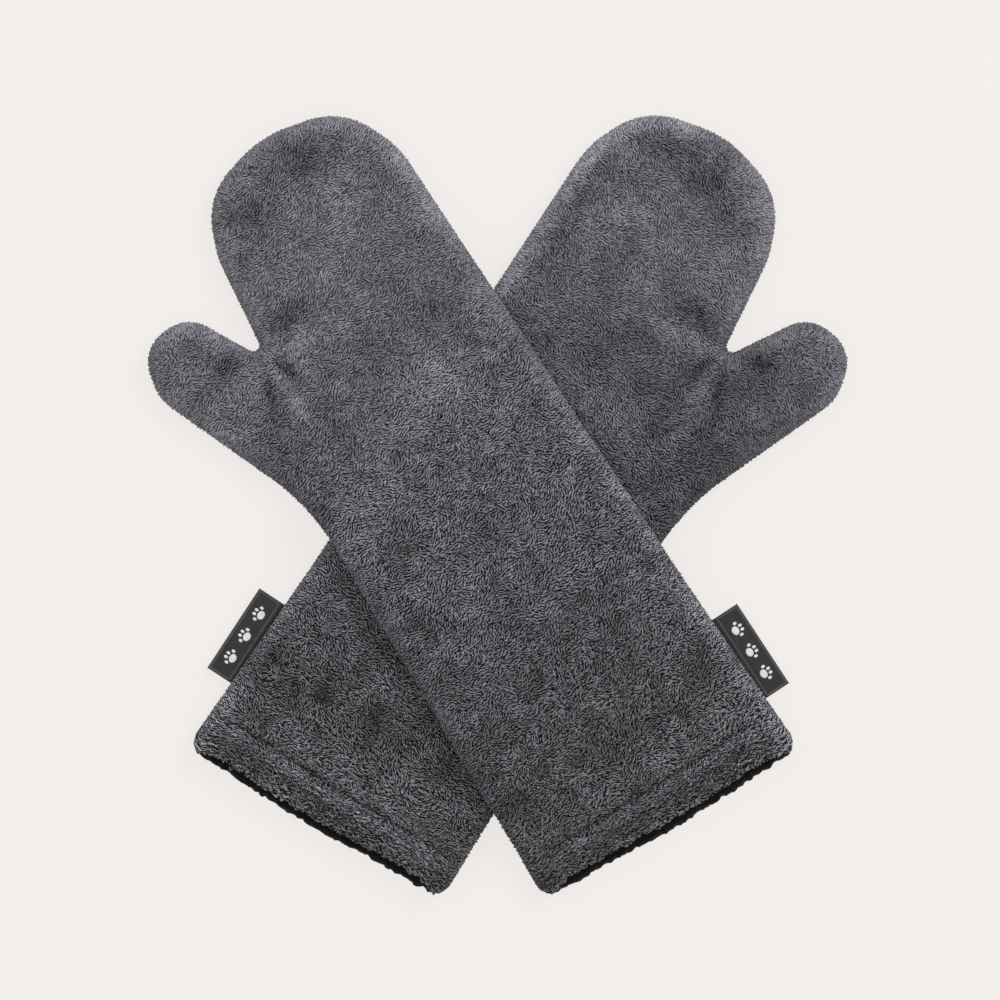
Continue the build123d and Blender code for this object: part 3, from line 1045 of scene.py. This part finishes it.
def make_woven_edge(mitt, material):
    """A low bead swept round the label's four sides."""
    half = np.array((LABEL_WIDTH, LABEL_LENGTH)) / 2 - EDGE_INSET
    centre = np.array((LABEL_ROOT + LABEL_WIDTH / 2, mitt.label_v))
    signs = np.array([(-1, -1), (1, -1), (1, 1), (-1, 1)])
    corners = centre + signs * half
    path = []
    for a, b in zip(corners, np.roll(corners, -1, 0)):
        steps = max(2, int(np.linalg.norm(b - a)))
        path += [a + (b - a) * k / steps for k in range(steps)]
    path = np.array(path)
    rings = []
    for inward, up in EDGE_SECTION:
        u, v = (centre + (path - centre) * (half - inward) / half).T
        rings.append(on_label(mitt, u, v, np.full(len(u), LABEL_Z + LABEL_THICK + up - EDGE_SINK)))
    points = np.stack(rings, 1).reshape(-1, 3)
    k = len(EDGE_SECTION)
    faces = []
    for i in range(len(path)):
        after = (i + 1) % len(path)
        for j in range(k):
            beside = (j + 1) % k
            faces.append((i * k + j, i * k + beside, after * k + beside, after * k + j))
    edge = closed_object(f"{mitt.name}_label_frame", points, faces, material)
    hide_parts(f"{mitt.name}_label_border")
    return edge


def paw_pad(mitt, place, size):
    """A low dome of thread with an oval outline."""
    top = LABEL_Z + LABEL_THICK
    a = 2 * pi * np.arange(PAD_SEGMENTS) / PAD_SEGMENTS
    rings = []
    for level in range(PAD_LEVELS):
        share = 1 - level / PAD_LEVELS
        up = PAD_RISE * (1 - share**4) ** 0.5 - PAD_SINK
        u = place[0] + size[1] * share * np.sin(a)
        v = place[1] + size[0] * share * np.cos(a)
        rings.append(on_label(mitt, u, v, np.full(len(a), top + up)))
    tip = on_label(mitt, place[:1], place[1:], np.array([top + PAD_TOP]))
    faces = []
    for s in range(PAD_SEGMENTS):
        beside = (s + 1) % PAD_SEGMENTS
        for ring in range(0, (PAD_LEVELS - 1) * PAD_SEGMENTS, PAD_SEGMENTS):
            faces.append((ring + s, ring + beside, ring + beside + PAD_SEGMENTS, ring + s + PAD_SEGMENTS))
        last = (PAD_LEVELS - 1) * PAD_SEGMENTS
        faces.append((last + s, last + beside, PAD_LEVELS * PAD_SEGMENTS))
    faces.append(list(reversed(range(PAD_SEGMENTS))))
    return np.vstack((*rings, tip)), faces


def make_paws(mitt, material):
    """Paw prints in raised thread, with their toes towards the ribbon's fold."""
    middle = LABEL_ROOT + LABEL_WIDTH / 2 - PAW_SHIFT
    points, faces = [], []
    for paw in (-1, 0, 1):
        for (side, ahead), size in PAW_PADS:
            place = np.array((middle + ahead, mitt.label_v + paw * PAW_PITCH - side))
            pad_points, pad_faces = paw_pad(mitt, place, size)
            base = len(points) * len(pad_points)
            points.append(pad_points)
            faces += [[base + i for i in face] for face in pad_faces]
    paws = closed_object(f"{mitt.name}_label_paws", np.vstack(points), faces, material)
    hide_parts(f"{mitt.name}_label_mark")
    return paws


def make_label(mitt):
    turn = -mitt.side * TILT
    name = f"{mitt.name}_ribbon"
    cloth = woven_material(name, *RIBBON_COLOURS, pitch=0.42, turn=turn, roughness=0.75, sheen=0.1)
    weave = woven_material(f"{name}_edge", *EDGE_COLOURS, pitch=0.5, turn=turn, roughness=0.7, sheen=0.2)
    thread = woven_material(f"{name}_thread", *PAW_COLOURS, pitch=0.36, turn=turn, roughness=0.6, sheen=0.2)
    ribbon = make_ribbon(mitt, cloth)
    edge = make_woven_edge(mitt, weave)
    paws = make_paws(mitt, thread)
    for obj in (ribbon, edge, paws):
        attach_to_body(obj, f"{mitt.name}_label_flag")


# ---------------------------------------------------------------- build


for mitt in (LOWER, UPPER):
    make_shells(mitt)
    for front in (True, False):
        make_lining(mitt, front)
    make_stitches(mitt)
    make_label(mitt)


# ---------------------------------------------------------------- floor, light and camera


def make_floor():
    """A pale light table, which shows hardly any shadow."""
    n = Nodes("floor")
    colour = n.ramp(n.noise(3, 2.0), [(0.3, (0.893, 0.860, 0.836)), (0.7, (0.899, 0.866, 0.842))])
    n.put(n.shader.inputs["Emission Color"], colour)
    n.put(n.shader.inputs["Emission Strength"], TABLE_GLOW)
    material = n.finish(n.scaled(colour, TABLE_REFLECTS), roughness=0.9, specular=0.05)
    mesh = bpy.data.meshes.new("floor")
    corners = [(-1, -1), (1, -1), (1, 1), (-1, 1)]
    mesh.from_pydata([(x * TABLE_REACH, y * TABLE_REACH, 0) for x, y in corners], [], [(0, 1, 2, 3)])
    linked("floor", mesh, material)


def make_light(name, place, size, power, colour):
    """A round soft lamp that points at the mitts."""
    data = bpy.data.lights.new(name, "AREA")
    data.shape = "DISK"
    data.size = size
    data.energy = power
    data.color = colour
    lamp = bpy.data.objects.new(name, data)
    lamp.location = place
    lamp.rotation_euler = (-Vector(place)).to_track_quat("-Z", "Y").to_euler()
    bpy.context.scene.collection.objects.link(lamp)


def make_world(strength):
    world = bpy.data.worlds.new("studio")
    world.use_nodes = True
    background = world.node_tree.nodes["Background"]
    background.inputs["Color"].default_value = (1, 1, 1, 1)
    background.inputs["Strength"].default_value = strength
    bpy.context.scene.world = world


def make_camera():
    """Straight above the mitts and far away, with so wide a view at their height."""
    data = bpy.data.cameras.new("camera")
    data.lens = 300
    data.sensor_width = 36
    camera = bpy.data.objects.new("camera", data)
    distance = VIEW_WIDTH * data.lens / data.sensor_width
    camera.location = (VIEW_MIDDLE[0], VIEW_MIDDLE[1], VIEW_HEIGHT + distance)
    bpy.context.scene.collection.objects.link(camera)
    bpy.context.scene.camera = camera


make_floor()
make_world(strength=0.80)
make_light("key", place=(2.6, 2.2, 3.6), size=2.2, power=95, colour=(1.0, 0.99, 0.98))
make_light("fill", place=(-2.6, 1.8, 4.2), size=3.0, power=20, colour=(0.98, 0.99, 1.0))
make_camera()
bpy.context.scene.view_settings.view_transform = "Standard"
